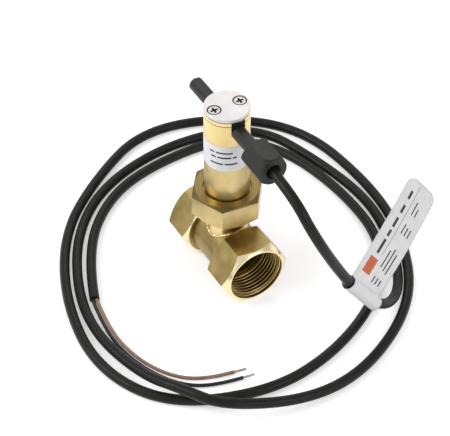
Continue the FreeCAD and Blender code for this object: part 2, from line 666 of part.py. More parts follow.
# ---------------------------------------------------------------- cable gland
GLAND_CORNER = "dims.gland_flats / sqrt(3) + 0.2"
gland_turned = turned("gland_turned", [
    ("dims.gland_back", "dims.thread_diameter / 2 + dims.rod_play"),
    ("dims.gland_back", GLAND_CORNER + " - dims.gland_back_bevel"),
    ("dims.gland_back + dims.gland_back_bevel", GLAND_CORNER),
    ("dims.gland_hex_end", GLAND_CORNER),
    ("dims.gland_front", "dims.gland_nose_diameter / 2"),
    ("dims.gland_front", "dims.gland_mouth / 2"),
    ("dims.gland_front - dims.gland_mouth_depth", "dims.gland_hole / 2"),
    ("dims.gland_front - dims.gland_wall", "dims.gland_hole / 2"),
    ("dims.gland_front - dims.gland_wall", "dims.thread_diameter / 2 + dims.rod_play"),
], "H_Axis")
gland_bar = prism("gland_bar", "dims.gland_flats", "dims.gland_front - dims.gland_back",
                  ALONG_X * FreeCAD.Rotation(Z_AXIS, -size("gland_turn")))
place(gland_bar, x="dims.gland_back")
gland = node("gland_nut", common("gland_nut", gland_bar, gland_turned))
place(gland, z="dims.rod_height")
SEAL_LENGTH = "(dims.gland_front - dims.gland_wall - dims.washer_thickness - dims.rod_half_length)"
seal = tube("gland_seal", "dims.thread_diameter - 0.1", "dims.seal_bore", SEAL_LENGTH, X_AXIS)
node("gland_seal", place(seal, x="dims.rod_half_length", z="dims.rod_height"))
washer = tube("gland_washer", "dims.thread_diameter - 0.1", "dims.gland_hole", "dims.washer_thickness",
              X_AXIS)
node("gland_washer", place(washer, x="dims.rod_half_length + " + SEAL_LENGTH, z="dims.rod_height"))


# ---------------------------------------------------------------- cable, cores and bare wire ends
def route(name, points, diameter):
    """Round tube along straight runs joined by tangent arcs; prints radii and compares volumes."""
    points = [V(*point) for point in points]
    edges = []
    radii = []
    here = points[0]
    for before, corner, after in zip(points, points[1:], points[2:]):
        back = (before - corner).normalize()
        ahead = (after - corner).normalize()
        turn = math.pi - back.getAngle(ahead)
        reach = 0.45 * min((before - corner).Length, (after - corner).Length)
        radius = reach / math.tan(turn / 2)
        entry = corner + back * reach
        leave = corner + ahead * reach
        middle = (back + ahead).normalize()
        centre = corner + middle * (radius / math.cos(turn / 2))
        bottom = centre - middle * radius
        edges.append(Part.LineSegment(here, entry).toShape())
        edges.append(Part.Arc(entry, bottom, leave).toShape())
        radii.append(round(radius, 1))
        here = leave
    edges.append(Part.LineSegment(here, points[-1]).toShape())
    path = Part.Wire(edges)
    start = (points[1] - points[0]).normalize()
    ring = Part.Wire([Part.Circle(points[0], start, diameter / 2).toShape()])
    solid = path.makePipeShell([ring], True, False)
    expected = math.pi * diameter ** 2 / 4 * path.Length
    print(name, "radii", radii)
    print(name, "length", round(path.Length, 1), "volume ratio", round(solid.Volume / expected, 5))
    item = doc.addObject("Part::Feature", name)
    item.Shape = solid
    return node(name, item)


# Out of the gland, down through the tag, then two and a half open turns on the floor.
CABLE_POINTS = [
    (37, 0, 113), (67, 0, 113), (88, 4, 92), (85, 32, 37.5), (89, 52, 14.5), (72, 75, 3.1),
    (40, 91, 3.1), (1, 100, 3.1), (-45, 92, 3.1), (-93, 75, 3.1), (-106, 23, 3.1), (-95, -30, 3.1),
    (-66, -66, 3.1), (-21, -89, 3.1), (17, -95, 3.1), (57, -87, 6), (80, -77, 13), (104, -62, 13),
    (118, -13, 4), (112, 30, 3.1), (82, 77, 3.1), (35, 101, 3.1), (-12, 108, 3.1), (-75, 100, 3.1),
    (-112, 60, 3.1), (-125, 9, 3.1), (-101, -35, 3.1), (-68, -74, 3.1), (-16, -99, 3.1),
    (38, -106, 3.1), (81, -84, 3.1), (101, -30, 3.1), (94, 17, 3.1), (70, 61, 3.1), (33, 88, 3.1),
    (-16, 90, 3.1), (-65, 79, 3.1), (-94, 52, 3.1), (-94, 2, 3.1), (-82, -36, 3.1),
    (-48, -69, 3.1), (-10, -83, 3.1),
]
route("cable", CABLE_POINTS, size("cable_diameter"))
BROWN_POINTS = [
    (-9.4, -81.94, 3.1), (14, -86.2, 1.4), (42, -82.5, 1.4), (63, -71.5, 1.4), (74, -56, 1.4),
    (77, -40, 1.4),
]
BLACK_POINTS = [
    (-10.2, -84.14, 3.1), (14, -88.6, 1.4), (43, -85.2, 1.4), (67, -73.5, 1.4), (80, -57, 1.4),
    (83, -38, 1.4),
]
route("brown_core", BROWN_POINTS, size("core_diameter"))
route("black_core", BLACK_POINTS, size("core_diameter"))
ends = []
for name, points in (("brown", BROWN_POINTS), ("black", BLACK_POINTS)):
    tip = V(*points[-1])
    heading = (tip - V(*points[-2])).normalize()
    end = doc.addObject("Part::Cylinder", "wire_end_" + name)
    end.setExpression("Radius", "dims.wire_diameter / 2")
    end.Height = 7
    end.Placement = FreeCAD.Placement(tip, FreeCAD.Rotation(Z_AXIS, heading))
    ends.append(end)
wire_ends = doc.addObject("Part::Compound", "wire_ends")
wire_ends.Links = ends
node("wire_ends", wire_ends)

# ---------------------------------------------------------------- folded tag round the cable
# Its loop follows the cable (local Z) and its doubled leaf stands off along local X.
tag_leaf = block("tag_leaf", "dims.tag_length - dims.tag_loop / 2", "dims.tag_thickness", "dims.tag_width")
place(tag_leaf, x="dims.tag_loop / 2 - 0.1 + dims.tag_wall / 2", y="-dims.tag_thickness / 2")
doc.recompute()
tag_round = doc.addObject("Part::Fillet", "tag_round")
tag_round.Base = tag_leaf
outer_edges = []
for number, edge in enumerate(tag_leaf.Shape.Edges, start=1):
    box = edge.BoundBox
    if box.XMin > size("tag_length") - 1 and box.YLength > 0.9 * size("tag_thickness"):
        outer_edges.append((number, size("tag_corner"), size("tag_corner")))
tag_round.Edges = outer_edges
tag_ring = rod("tag_ring", "dims.tag_loop + 2 * dims.tag_wall", "dims.tag_width")
tag_hole = rod("tag_hole", "dims.tag_loop", "dims.tag_width")
tag = cut("flag_tag", fuse("tag_blank", tag_round, tag_ring), tag_hole)
TAG_START = V(85.34, 27.9, 45.87)
TAG_ALONG = V(0.0589, 0.5811, -0.8117).normalize()
TAG_OUT = V(-0.331, 0.765, 0.553)
TAG_OUT = (TAG_OUT - TAG_ALONG * TAG_OUT.dot(TAG_ALONG)).normalize()
TAG_FACE = TAG_ALONG.cross(TAG_OUT)
turn = FreeCAD.Matrix(TAG_OUT.x, TAG_FACE.x, TAG_ALONG.x, 0,
                      TAG_OUT.y, TAG_FACE.y, TAG_ALONG.y, 0,
                      TAG_OUT.z, TAG_FACE.z, TAG_ALONG.z, 0,
                      0, 0, 0, 1)
tag.Placement = FreeCAD.Placement(TAG_START, FreeCAD.Rotation(turn))
node("flag_tag", tag)

# ---------------------------------------------------------------- check and write
doc.recompute()
faults = []
for item in doc.Objects:
    if "Invalid" in item.State or "Error" in item.State:
        faults.append("%s: %s" % (item.Name, item.State))
for name, item in nodes.items():
    if item.Shape.isNull() or not item.Shape.isValid() or not item.Shape.Solids:
        faults.append("%s: bad shape" % name)
if faults:
    raise RuntimeError("; ".join(faults))
os.makedirs("parts", exist_ok=True)
for name, item in nodes.items():
    item.Shape.exportStep("parts/%s.step" % name)
    box = item.Shape.BoundBox
    print("%-16s %d solid(s) volume %9.1f  x %.1f..%.1f y %.1f..%.1f z %.1f..%.1f" % (
        name, len(item.Shape.Solids), item.Shape.Volume,
        box.XMin, box.XMax, box.YMin, box.YMax, box.ZMin, box.ZMax))
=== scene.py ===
# Looks for the paddle flow switch. The sections follow the switch as it is put together: camera,
# cable with its cores, tag and gland, brass tee, union nut, housing tube, clamped top, paddle,
# contact rod, and then the studio. Sizes are in millimetres and repeat those of the CAD pieces.
import math

import bmesh
import bpy
from mathutils import Matrix, Vector


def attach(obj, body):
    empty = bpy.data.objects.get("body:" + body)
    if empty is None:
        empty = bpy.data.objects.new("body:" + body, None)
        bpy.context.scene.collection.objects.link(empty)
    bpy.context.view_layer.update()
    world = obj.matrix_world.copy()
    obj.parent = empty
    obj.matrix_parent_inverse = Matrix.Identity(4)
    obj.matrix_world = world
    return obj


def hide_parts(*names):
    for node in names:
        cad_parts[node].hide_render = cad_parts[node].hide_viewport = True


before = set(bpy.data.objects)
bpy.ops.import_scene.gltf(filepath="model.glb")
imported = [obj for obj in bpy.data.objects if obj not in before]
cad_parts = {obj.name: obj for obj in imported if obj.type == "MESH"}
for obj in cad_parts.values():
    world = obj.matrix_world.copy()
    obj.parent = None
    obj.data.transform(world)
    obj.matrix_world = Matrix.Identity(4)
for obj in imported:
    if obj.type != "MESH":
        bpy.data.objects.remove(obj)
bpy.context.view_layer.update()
scene = bpy.context.scene

# ---------------------------------------------------------------- camera
# A long lens on the gland's side of the switch, looking down at 44.5 degrees. It stands a metre
# off the point that it turns about, 50 mm up the switch's axis, and looks a little past it.
AZIMUTH = 60.05
ELEVATION = 44.53
ROLL = -0.16
PIVOT_HEIGHT_M = 0.05
ASIDE_M = 0.00122
BELOW_M = 0.00947
DISTANCE_M = 1.03342
azimuth, elevation, roll = math.radians(AZIMUTH), math.radians(ELEVATION), math.radians(ROLL)
back = Vector((math.sin(azimuth) * math.cos(elevation), -math.cos(azimuth) * math.cos(elevation),
               math.sin(elevation)))
right = Vector((math.cos(azimuth), math.sin(azimuth), 0))
up = back.cross(right)
right, up = (right * math.cos(roll) + up * math.sin(roll),
             up * math.cos(roll) - right * math.sin(roll))
stand = Vector((0, 0, PIVOT_HEIGHT_M)) - right * ASIDE_M - up * BELOW_M + back * DISTANCE_M
camera_data = bpy.data.cameras.new("camera")
camera_data.sensor_fit = "HORIZONTAL"
camera_data.sensor_width = 36
camera_data.lens = 144
camera = bpy.data.objects.new("camera", camera_data)
scene.collection.objects.link(camera)
camera.matrix_world = Matrix(((right.x, up.x, back.x, stand.x), (right.y, up.y, back.y, stand.y),
                              (right.z, up.z, back.z, stand.z), (0, 0, 0, 1)))
scene.camera = camera
scene.view_settings.view_transform = "Standard"

# ---------------------------------------------------------------- cable
# A round 6 mm two-core cable in a black PVC sheath, one length from the gland to the stripped
# cores. It drops from the gland through the tag's loop, which hangs on it, and lies on the floor
# in about two and a half loose turns.
MM = 0.001
CABLE_DIAMETER = 6.0
CABLE_ROUTE = [
    (37, 0, 113), (67, 0, 113), (88, 4, 92), (85, 32, 37.5), (89, 52, 14.5), (72, 75, 3.1),
    (40, 91, 3.1), (1, 100, 3.1), (-45, 92, 3.1), (-93, 75, 3.1), (-106, 23, 3.1), (-95, -30, 3.1),
    (-66, -66, 3.1), (-21, -89, 3.1), (17, -95, 3.1), (57, -87, 6), (80, -77, 13), (104, -62, 13),
    (118, -13, 4), (112, 30, 3.1), (82, 77, 3.1), (35, 101, 3.1), (-12, 108, 3.1), (-75, 100, 3.1),
    (-112, 60, 3.1), (-125, 9, 3.1), (-101, -35, 3.1), (-68, -74, 3.1), (-16, -99, 3.1),
    (38, -106, 3.1), (81, -84, 3.1), (101, -30, 3.1), (94, 17, 3.1), (70, 61, 3.1), (33, 88, 3.1),
    (-16, 90, 3.1), (-65, 79, 3.1), (-94, 52, 3.1), (-94, 2, 3.1), (-82, -36, 3.1),
    (-48, -69, 3.1), (-10, -83, 3.1),
]


def round_cord(name, route, diameter):
    """Smooth cord of a round section, its route and diameter in millimetres."""
    data = bpy.data.curves.new(name, "CURVE")
    data.dimensions = "3D"
    spline = data.splines.new("NURBS")
    spline.points.add(len(route) - 1)
    for point, (x, y, z) in zip(spline.points, route):
        point.co = (x * MM, y * MM, z * MM, 1)
    spline.order_u = 3
    spline.use_endpoint_u = True
    spline.resolution_u = 14
    data.bevel_depth = diameter * MM / 2
    data.bevel_resolution = 8
    data.use_fill_caps = True
    cord = bpy.data.objects.new(name, data)
    scene.collection.objects.link(cord)
    return cord


def surface(name, color, rough, metallic=0.0):
    """New material, with its node tree and its shader."""
    finish = bpy.data.materials.new(name)
    finish.use_nodes = True
    shader = finish.node_tree.nodes["Principled BSDF"]
    shader.inputs["Base Color"].default_value = (*color, 1)
    shader.inputs["Roughness"].default_value = rough
    shader.inputs["Metallic"].default_value = metallic
    return finish, finish.node_tree, shader


def grain(tree, per_metre, detail=3.0, squeeze=(1, 1, 1)):
    """Noise in features per metre, fixed to the piece; squeeze packs them along an axis."""
    coords = tree.nodes.new("ShaderNodeTexCoord")
    mapping = tree.nodes.new("ShaderNodeMapping")
    mapping.inputs["Scale"].default_value = squeeze
    texture = tree.nodes.new("ShaderNodeTexNoise")
    texture.inputs["Scale"].default_value = per_metre
    texture.inputs["Detail"].default_value = detail
    tree.links.new(coords.outputs["Object"], mapping.inputs["Vector"])
    tree.links.new(mapping.outputs["Vector"], texture.inputs["Vector"])
    return texture.outputs["Fac"]


def spread(tree, value, low, high):
    """Stretch the middle of a noise over a range."""
    node = tree.nodes.new("ShaderNodeMapRange")
    node.inputs["From Min"].default_value = 0.3
    node.inputs["From Max"].default_value = 0.7
    node.inputs["To Min"].default_value = low
    node.inputs["To Max"].default_value = high
    tree.links.new(value, node.inputs["Value"])
    return node.outputs["Result"]


def tint(tree, value, first, second):
    """Blend two colours by a noise."""
    ramp = tree.nodes.new("ShaderNodeValToRGB")
    ramp.color_ramp.elements[0].position = 0.3
    ramp.color_ramp.elements[0].color = (*first, 1)
    ramp.color_ramp.elements[1].position = 0.7
    ramp.color_ramp.elements[1].color = (*second, 1)
    tree.links.new(value, ramp.inputs["Fac"])
    return ramp.outputs["Color"]


def relief(tree, shader, value, height, edge=0.0):
    """Fine relief, its height in metres; edge is the radius that eases sharp corners."""
    node = tree.nodes.new("ShaderNodeBump")
    node.inputs["Strength"].default_value = 0.6
    node.inputs["Distance"].default_value = height
    tree.links.new(value, node.inputs["Height"])
    if edge:
        eased = tree.nodes.new("ShaderNodeBevel")
        eased.inputs["Radius"].default_value = edge
        tree.links.new(eased.outputs["Normal"], node.inputs["Normal"])
    tree.links.new(node.outputs["Normal"], shader.inputs["Normal"])


def moulded(name, low, high, rough, per_metre, height, gloss=0.5, edge=0.0):
    """Moulded plastic, rubber, film or ink with a fine grain."""
    finish, tree, shader = surface(name, high, rough)
    tree.links.new(tint(tree, grain(tree, 160, 4), low, high), shader.inputs["Base Color"])
    fine = grain(tree, per_metre, 4)
    tree.links.new(spread(tree, fine, rough * 0.85, rough * 1.2), shader.inputs["Roughness"])
    relief(tree, shader, fine, height, edge)
    shader.inputs["Specular IOR Level"].default_value = gloss
    return finish


def dress(name, finish):
    """Give a CAD piece its finish."""
    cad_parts[name].data.materials.clear()
    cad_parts[name].data.materials.append(finish)


def stand_in(piece, body, node=None):
    """Add a piece to a body and the CAD piece that it stands for."""
    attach(piece, body)
    if node:
        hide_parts(node)


cable_pvc = moulded("cable_pvc", (0.005, 0.005, 0.004), (0.010, 0.010, 0.008), 0.40, 1400,
                    0.00002, 0.22)
cable = round_cord("cable_sheath", CABLE_ROUTE, CABLE_DIAMETER)
cable.data.materials.append(cable_pvc)
dress("cable", cable_pvc)
stand_in(cable, "contact_rod", "cable")

# ---------------------------------------------------------------- cores and stripped ends
# Two stranded cores in 2.1 mm PVC insulation, brown and black, side by side out of the sheath.
# Each ends in 7 mm of bare twisted copper, tinned, of seven strands.
CORE_DIAMETER = 2.1
BROWN_ROUTE = [
    (-9.4, -81.94, 3.1), (14, -86.2, 1.4), (42, -82.5, 1.4), (63, -71.5, 1.4), (74, -56, 1.4),
    (77, -40, 1.4),
]
BLACK_ROUTE = [
    (-10.2, -84.14, 3.1), (14, -88.6, 1.4), (43, -85.2, 1.4), (67, -73.5, 1.4), (80, -57, 1.4),
    (83, -38, 1.4),
]
STRANDS_ROUND_THE_MIDDLE = 6
STRAND_RADIUS = 0.22
STRAND_RING = 0.44
BARE_LENGTH = 7.0
TWIST_STEPS = 14
TWIST_PER_STEP = 0.22


def metal(name, low, high, rough, per_metre, squeeze, height, edge=0.0):
    """Metal with drifting colour, streaked roughness and fine tool marks."""
    finish, tree, shader = surface(name, high, rough, 1.0)
    tree.links.new(tint(tree, grain(tree, 90, 4), low, high), shader.inputs["Base Color"])
    marks = grain(tree, per_metre, 5, squeeze)
    tree.links.new(spread(tree, marks, rough * 0.75, rough * 1.3), shader.inputs["Roughness"])
    relief(tree, shader, marks, height, edge)
    return finish


brown_pvc = moulded("brown_pvc", (0.22, 0.13, 0.085), (0.31, 0.19, 0.13), 0.42, 2500,
                    0.00001, 0.4)
black_pvc = moulded("black_pvc", (0.012, 0.013, 0.014), (0.022, 0.023, 0.025), 0.44, 2500,
                    0.00001, 0.3)
tinned_wire = metal("tinned_wire", (0.28, 0.27, 0.25), (0.52, 0.50, 0.47), 0.26, 6000,
                    (1, 1, 1), 0.000004)
for name, node, slot, route, finish in (
        ("brown_insulation", "brown_core", "brown_pvc", BROWN_ROUTE, brown_pvc),
        ("black_insulation", "black_core", "black_pvc", BLACK_ROUTE, black_pvc)):
    core = round_cord(name, route, CORE_DIAMETER)
    core.data.materials.append(finish)
    dress(node, finish)
    stand_in(core, "contact_rod", node)

strands = bpy.data.curves.new("wire_strands", "CURVE")
strands.dimensions = "3D"
strands.bevel_depth = STRAND_RADIUS * MM
strands.bevel_resolution = 3
strands.use_fill_caps = True
strands.materials.append(tinned_wire)
for route in (BROWN_ROUTE, BLACK_ROUTE):
    tip = Vector(route[-1])
    heading = (tip - Vector(route[-2])).normalized()
    across = heading.cross(Vector((0, 0, 1))).normalized()
    over = across.cross(heading)
    for strand in range(STRANDS_ROUND_THE_MIDDLE + 1):
        line = strands.splines.new("POLY")
        line.points.add(TWIST_STEPS)
        ring = 0 if strand == STRANDS_ROUND_THE_MIDDLE else STRAND_RING
        for i, point in enumerate(line.points):
            angle = 2 * math.pi * strand / STRANDS_ROUND_THE_MIDDLE + i * TWIST_PER_STEP
            around = (across * math.cos(angle) + over * math.sin(angle)) * ring
            out = heading * (BARE_LENGTH * i / TWIST_STEPS)
            point.co = (*((tip + out + around) * MM), 1)
wires = bpy.data.objects.new("wire_strands", strands)
scene.collection.objects.link(wires)
dress("wire_ends", tinned_wire)
stand_in(wires, "contact_rod", "wire_ends")

# ---------------------------------------------------------------- folded tag
# One strip of coated paper: a leaf, a loop round the cable, and back as the second leaf, stuck to
# the first. The print is plain bars, a rule and a patch, with no lettering.
TAG_LENGTH = 70.0
TAG_WIDTH = 31.0
TAG_CORNER = 6.0
TAG_BOW = 0.9
LEAF_LIFT = 0.18
LOOP_RADIUS = 4.25
LOOP_START = 38
LOOP_SWEEP = 284
LOOP_STEPS = 32
BOW_START = 5
NEAR_LOOP = 10
WIDE_STEP = 2.0
CLOSE_STEP = 1.1
WIDE_STEPS = 30
CLOSE_STEPS = 5
PAPER = 0.3
LEAF_ROWS = 17
tag_along = Vector((0.0589, 0.5811, -0.8117)).normalized()
tag_out = Vector((-0.331, 0.765, 0.553))
tag_out = (tag_out - tag_along * tag_out.dot(tag_along)).normalized()
tag_face = tag_along.cross(tag_out)
tag_start = Vector((85.34, 27.9, 45.87))


def new_mesh(name, points, faces, smooth=True):
    """Mesh piece from points in millimetres and faces."""
    mesh = bpy.data.meshes.new(name)
    mesh.from_pydata([tuple(Vector(point) * MM) for point in points], [], faces)
    mesh.validate()
    for polygon in mesh.polygons:
        polygon.use_smooth = smooth
    piece = bpy.data.objects.new(name, mesh)
    scene.collection.objects.link(piece)
    return piece


def grid_faces(rows, columns, closed=False, first=0):
    """Quads between rows of points; closed joins each row's last column to its first."""
    faces = []
    for i in range(rows - 1):
        for j in range(columns if closed else columns - 1):
            k = (j + 1) % columns
            faces.append((first + i * columns + j, first + i * columns + k,
                          first + (i + 1) * columns + k, first + (i + 1) * columns + j))
    return faces


def on_leaf(u, v, lift):
    """Point u along the leaf and v along the cable, lifted off the leaf's bowed middle."""
    share = min(1, max(0, (u - BOW_START) / (TAG_LENGTH - BOW_START)))
    bow = TAG_BOW * math.sin(math.pi * share)
    return tag_start + tag_out * u + tag_along * v + tag_face * (bow + lift)


leaf = [TAG_LENGTH - WIDE_STEP * i for i in range(WIDE_STEPS + 1)]
leaf += [NEAR_LOOP - CLOSE_STEP * (i + 1) for i in range(CLOSE_STEPS)]
section = [(u, LEAF_LIFT) for u in leaf]
for i in range(LOOP_STEPS + 1):
    angle = math.radians(LOOP_START) + math.radians(LOOP_SWEEP) * i / LOOP_STEPS
    section.append((LOOP_RADIUS * math.cos(angle), LOOP_RADIUS * math.sin(angle)))
section += [(u, -LEAF_LIFT) for u in reversed(leaf)]
points = []
for u, lift in section:
    far = u - (TAG_LENGTH - TAG_CORNER)
    half = TAG_WIDTH / 2
    if far > 0:
        half = half - TAG_CORNER + math.sqrt(max(0, TAG_CORNER ** 2 - far ** 2))
    for j in range(LEAF_ROWS):
        points.append(on_leaf(u, TAG_WIDTH / 2 + half * (2 * j / (LEAF_ROWS - 1) - 1), lift))
tag_paper = moulded("tag_paper", (0.65, 0.65, 0.65), (0.73, 0.73, 0.73), 0.40, 1200,
                    0.00001, 0.5)
tag = new_mesh("tag_sheet", points, grid_faces(len(section), LEAF_ROWS))
tag.data.materials.append(tag_paper)
thickness = tag.modifiers.new("thickness", "SOLIDIFY")
thickness.thickness = PAPER * MM
thickness.offset = 0
dress("flag_tag", tag_paper)
stand_in(tag, "contact_rod", "flag_tag")

# Each printed form runs from u0 to u1 along the leaf and from v0 to v1 across it.
dark_ink = moulded("dark_ink", (0.018, 0.018, 0.02), (0.035, 0.035, 0.04), 0.5, 3000,
                   0.000003, 0.3)
orange_ink = moulded("orange_ink", (0.50, 0.09, 0.03), (0.60, 0.12, 0.045), 0.45, 2500,
                     0.000003, 0.4)
PRINT_LIFT = 0.36
RULE = (24, 68, 12.6, 12.95)
PATCH = (10, 20, 4.2, 12.4)
BIG_BAR_SIDES = (6.8, 9.2)
BIG_BARS = ((23, 9), (34, 4), (40, 6), (49, 5), (58, 5))
SMALL_BAR = 1.1
SMALL_BARS = (
    (17.0, ((8, 12), (18, 29), (40, 46), (52, 60))),
    (20.5, ((8, 12), (17, 31), (40, 45), (52, 57))),
    (24.0, ((8, 12), (16, 29), (40, 45))),
)
bars = [RULE]
bars += [(start, start + long, *BIG_BAR_SIDES) for start, long in BIG_BARS]
for across, spans in SMALL_BARS:
    bars += [(first, last, across, across + SMALL_BAR) for first, last in spans]
for name, forms, finish in (("tag_bars", bars, dark_ink), ("tag_patch", [PATCH], orange_ink)):
    points = []
    faces = []
    for u0, u1, v0, v1 in forms:
        rows = max(2, int((u1 - u0) / 2) + 1)
        first = len(points)
        for i in range(rows):
            u = u0 + (u1 - u0) * i / (rows - 1)
            points += [on_leaf(u, v0, PRINT_LIFT), on_leaf(u, v1, PRINT_LIFT)]
        faces += grid_faces(rows, 2, False, first)
    printed = new_mesh(name, points, faces)
    printed.data.materials.append(finish)
    stand_in(printed, "contact_rod")

# ---------------------------------------------------------------- cable gland
# A hexagonal nylon gland nut on the rod's thread squeezes a rubber seal round the cable, with a
# thin slip washer between them. Tightened by hand, it stops with one flat nearly level on top;
# the CAD's nut stops short of that, so a copy of it is turned on round its own axis.
GLAND_AXIS = 113.0
GLAND_TURN = -24.0
black_plastic = moulded("black_plastic", (0.013, 0.013, 0.012), (0.021, 0.021, 0.019), 0.42,
                        3500, 0.00002, 0.3, 0.0003)
seal_rubber = moulded("seal_rubber", (0.006, 0.006, 0.006), (0.011, 0.011, 0.011), 0.6, 2500,
                      0.00003, 0.2)
white_plastic = moulded("white_plastic", (0.66, 0.66, 0.63), (0.74, 0.74, 0.71), 0.45, 2500,
                        0.00001)
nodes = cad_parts
dress("gland_nut", black_plastic)
dress("gland_seal", seal_rubber)
dress("gland_washer", white_plastic)
mesh = nodes["gland_nut"].data.copy()
turned_on = Matrix.Rotation(math.radians(GLAND_TURN), 4, "X")
mesh.transform(Matrix.Translation((0, 0, GLAND_AXIS * MM)) @ turned_on
               @ Matrix.Translation((0, 0, -GLAND_AXIS * MM)))
gland = bpy.data.objects.new("gland_nut_turned", mesh)
scene.collection.objects.link(gland)
stand_in(gland, "contact_rod", "gland_nut")

# ---------------------------------------------------------------- brass tee
# Two hexagonal sockets for 38 mm spanners, turned from brass bar and brazed to a round run and a
# neck. Each socket is counterbored at its mouth and cut with an inside pipe thread of 11 turns an
# inch, on a wall that the CAD leaves plain at the thread's inside diameter.
PITCH = 2.309
THREAD_DEPTH = 1.479
CREST_RADIUS = 15.15
MOUTH_RADIUS = 16.9
END_X = 33.7
COUNTERBORE_X = 31.7
SEAT_X = 16.7
PORT_AXIS = 19.0
NECK_RADIUS = 11.2
MOUTH_SLOPE = 0.65
BACK_SLOPE = 0.6
BACK_X = 13.0
RIM_RADIUS = 18.4
RIM_EDGE = 0.6
RUN_RADIUS = 16.0
THREAD_COLUMNS = 160
THREAD_ROWS = 150
FLANK_STEEPNESS = 1.45
STRAIGHT_SHARE = 0.35
ROUND_SHARE = 0.65
LEAD_IN_SLOPE = 1.4
RUN_OUT = 1.2
WALL_TOLERANCE = 0.05
FADE_START = 0.1
FADE_STOP = 0.03
# Painted shade in the thread's valleys starts and is full at these distances past the crests.
VALLEY_SHADE_START = 0.2
VALLEY_SHADE_FULL = 1.0
# Painted light: a painted highlight on the sockets' rims and bevels, painted shade in the thread's
# valleys, a painted highlight in the counterbores.
RIM_HIGHLIGHT_COLOR = (0.90, 0.76, 0.46)
VALLEY_SHADE_COLOR = (0.13, 0.075, 0.02)
MOUTH_HIGHLIGHT_COLOR = (0.80, 0.64, 0.34)


def distance(tree, centre, flatten=(1, 1, 1), mirror=False):
    """Metres from a point fixed to the piece; a 0 in flatten leaves that direction out."""
    coords = tree.nodes.new("ShaderNodeTexCoord")
    spot = coords.outputs["Object"]
    if mirror:
        folded = tree.nodes.new("ShaderNodeVectorMath")
        folded.operation = "ABSOLUTE"
        tree.links.new(spot, folded.inputs[0])
        spot = folded.outputs["Vector"]
    shifted = tree.nodes.new("ShaderNodeMapping")
    shifted.inputs["Scale"].default_value = flatten
    shifted.inputs["Location"].default_value = [-c * MM * f for c, f in zip(centre, flatten)]
    tree.links.new(spot, shifted.inputs["Vector"])
    measure = tree.nodes.new("ShaderNodeVectorMath")
    measure.operation = "LENGTH"
    tree.links.new(shifted.outputs["Vector"], measure.inputs[0])
    return measure.outputs["Value"]


def ramp_mask(tree, value, start, stop):
    """0 below one value in millimetres and 1 above another; the two may be the other way round."""
    node = tree.nodes.new("ShaderNodeMapRange")
    node.inputs["From Min"].default_value = start * MM
    node.inputs["From Max"].default_value = stop * MM
    tree.links.new(value, node.inputs["Value"])
    return node.outputs["Result"]


def join(tree, operation, first, second):
    """One value from two: MULTIPLY where two masks meet, MAXIMUM for either of them."""
    node = tree.nodes.new("ShaderNodeMath")
    node.operation = operation
    tree.links.new(first, node.inputs[0])
    if isinstance(second, float):
        node.inputs[1].default_value = second
    else:
        tree.links.new(second, node.inputs[1])
    return node.outputs["Value"]


def lay_over(tree, shader, mask, color, rough=None):
    """Blend a second colour, and if given a second roughness, over the finish by a mask."""
    mix = tree.nodes.new("ShaderNodeMix")
    mix.data_type = "RGBA"
    mix.inputs["B"].default_value = (*color, 1)
    tree.links.new(mask, mix.inputs["Factor"])
    tree.links.new(shader.inputs["Base Color"].links[0].from_socket, mix.inputs["A"])
    tree.links.new(mix.outputs["Result"], shader.inputs["Base Color"])
    if rough is not None:
        blend = tree.nodes.new("ShaderNodeMix")
        blend.inputs["B"].default_value = rough
        tree.links.new(mask, blend.inputs["Factor"])
        tree.links.new(shader.inputs["Roughness"].links[0].from_socket, blend.inputs["A"])
        tree.links.new(blend.outputs["Result"], shader.inputs["Roughness"])


run_brass = metal("run_brass", (0.25, 0.18, 0.065), (0.36, 0.27, 0.105), 0.36, 2200, (1, 1, 1),
                  0.000014, 0.0003)
neck_brass = metal("neck_brass", (0.66, 0.51, 0.24), (0.78, 0.61, 0.31), 0.26, 2600,
                   (1, 1, 4), 0.000008)
# The hexagons keep the dull, mottled skin of drawn bar; their smoother turned rims and bevels
# carry a painted highlight.
socket_brass = metal("socket_brass", (0.24, 0.175, 0.060), (0.43, 0.325, 0.13), 0.36, 2200,
                     (1, 1, 1), 0.000014, 0.0003)
tree = socket_brass.node_tree
out_from_middle = distance(tree, (0, 0, 0), (1, 0, 0))
from_axis = distance(tree, (0, 0, PORT_AXIS), (0, 1, 1))
mouth_cone = join(tree, "ADD", out_from_middle, join(tree, "MULTIPLY", from_axis, MOUTH_SLOPE))
back_cone = join(tree, "SUBTRACT", out_from_middle,
                 join(tree, "MULTIPLY", from_axis, BACK_SLOPE))
rim_start = END_X - RIM_EDGE
mouth_edge = rim_start + MOUTH_SLOPE * RIM_RADIUS
back_edge = BACK_X - BACK_SLOPE * RIM_RADIUS
rim_highlight_mask = join(tree, "MAXIMUM",
                   ramp_mask(tree, out_from_middle, rim_start - FADE_START, rim_start),
                   ramp_mask(tree, mouth_cone, mouth_edge - FADE_START, mouth_edge - FADE_STOP))
rim_highlight_mask = join(tree, "MAXIMUM", rim_highlight_mask,
                   ramp_mask(tree, back_cone, back_edge + FADE_START, back_edge + FADE_STOP))
lay_over(tree, tree.nodes["Principled BSDF"], rim_highlight_mask, RIM_HIGHLIGHT_COLOR, 0.24)
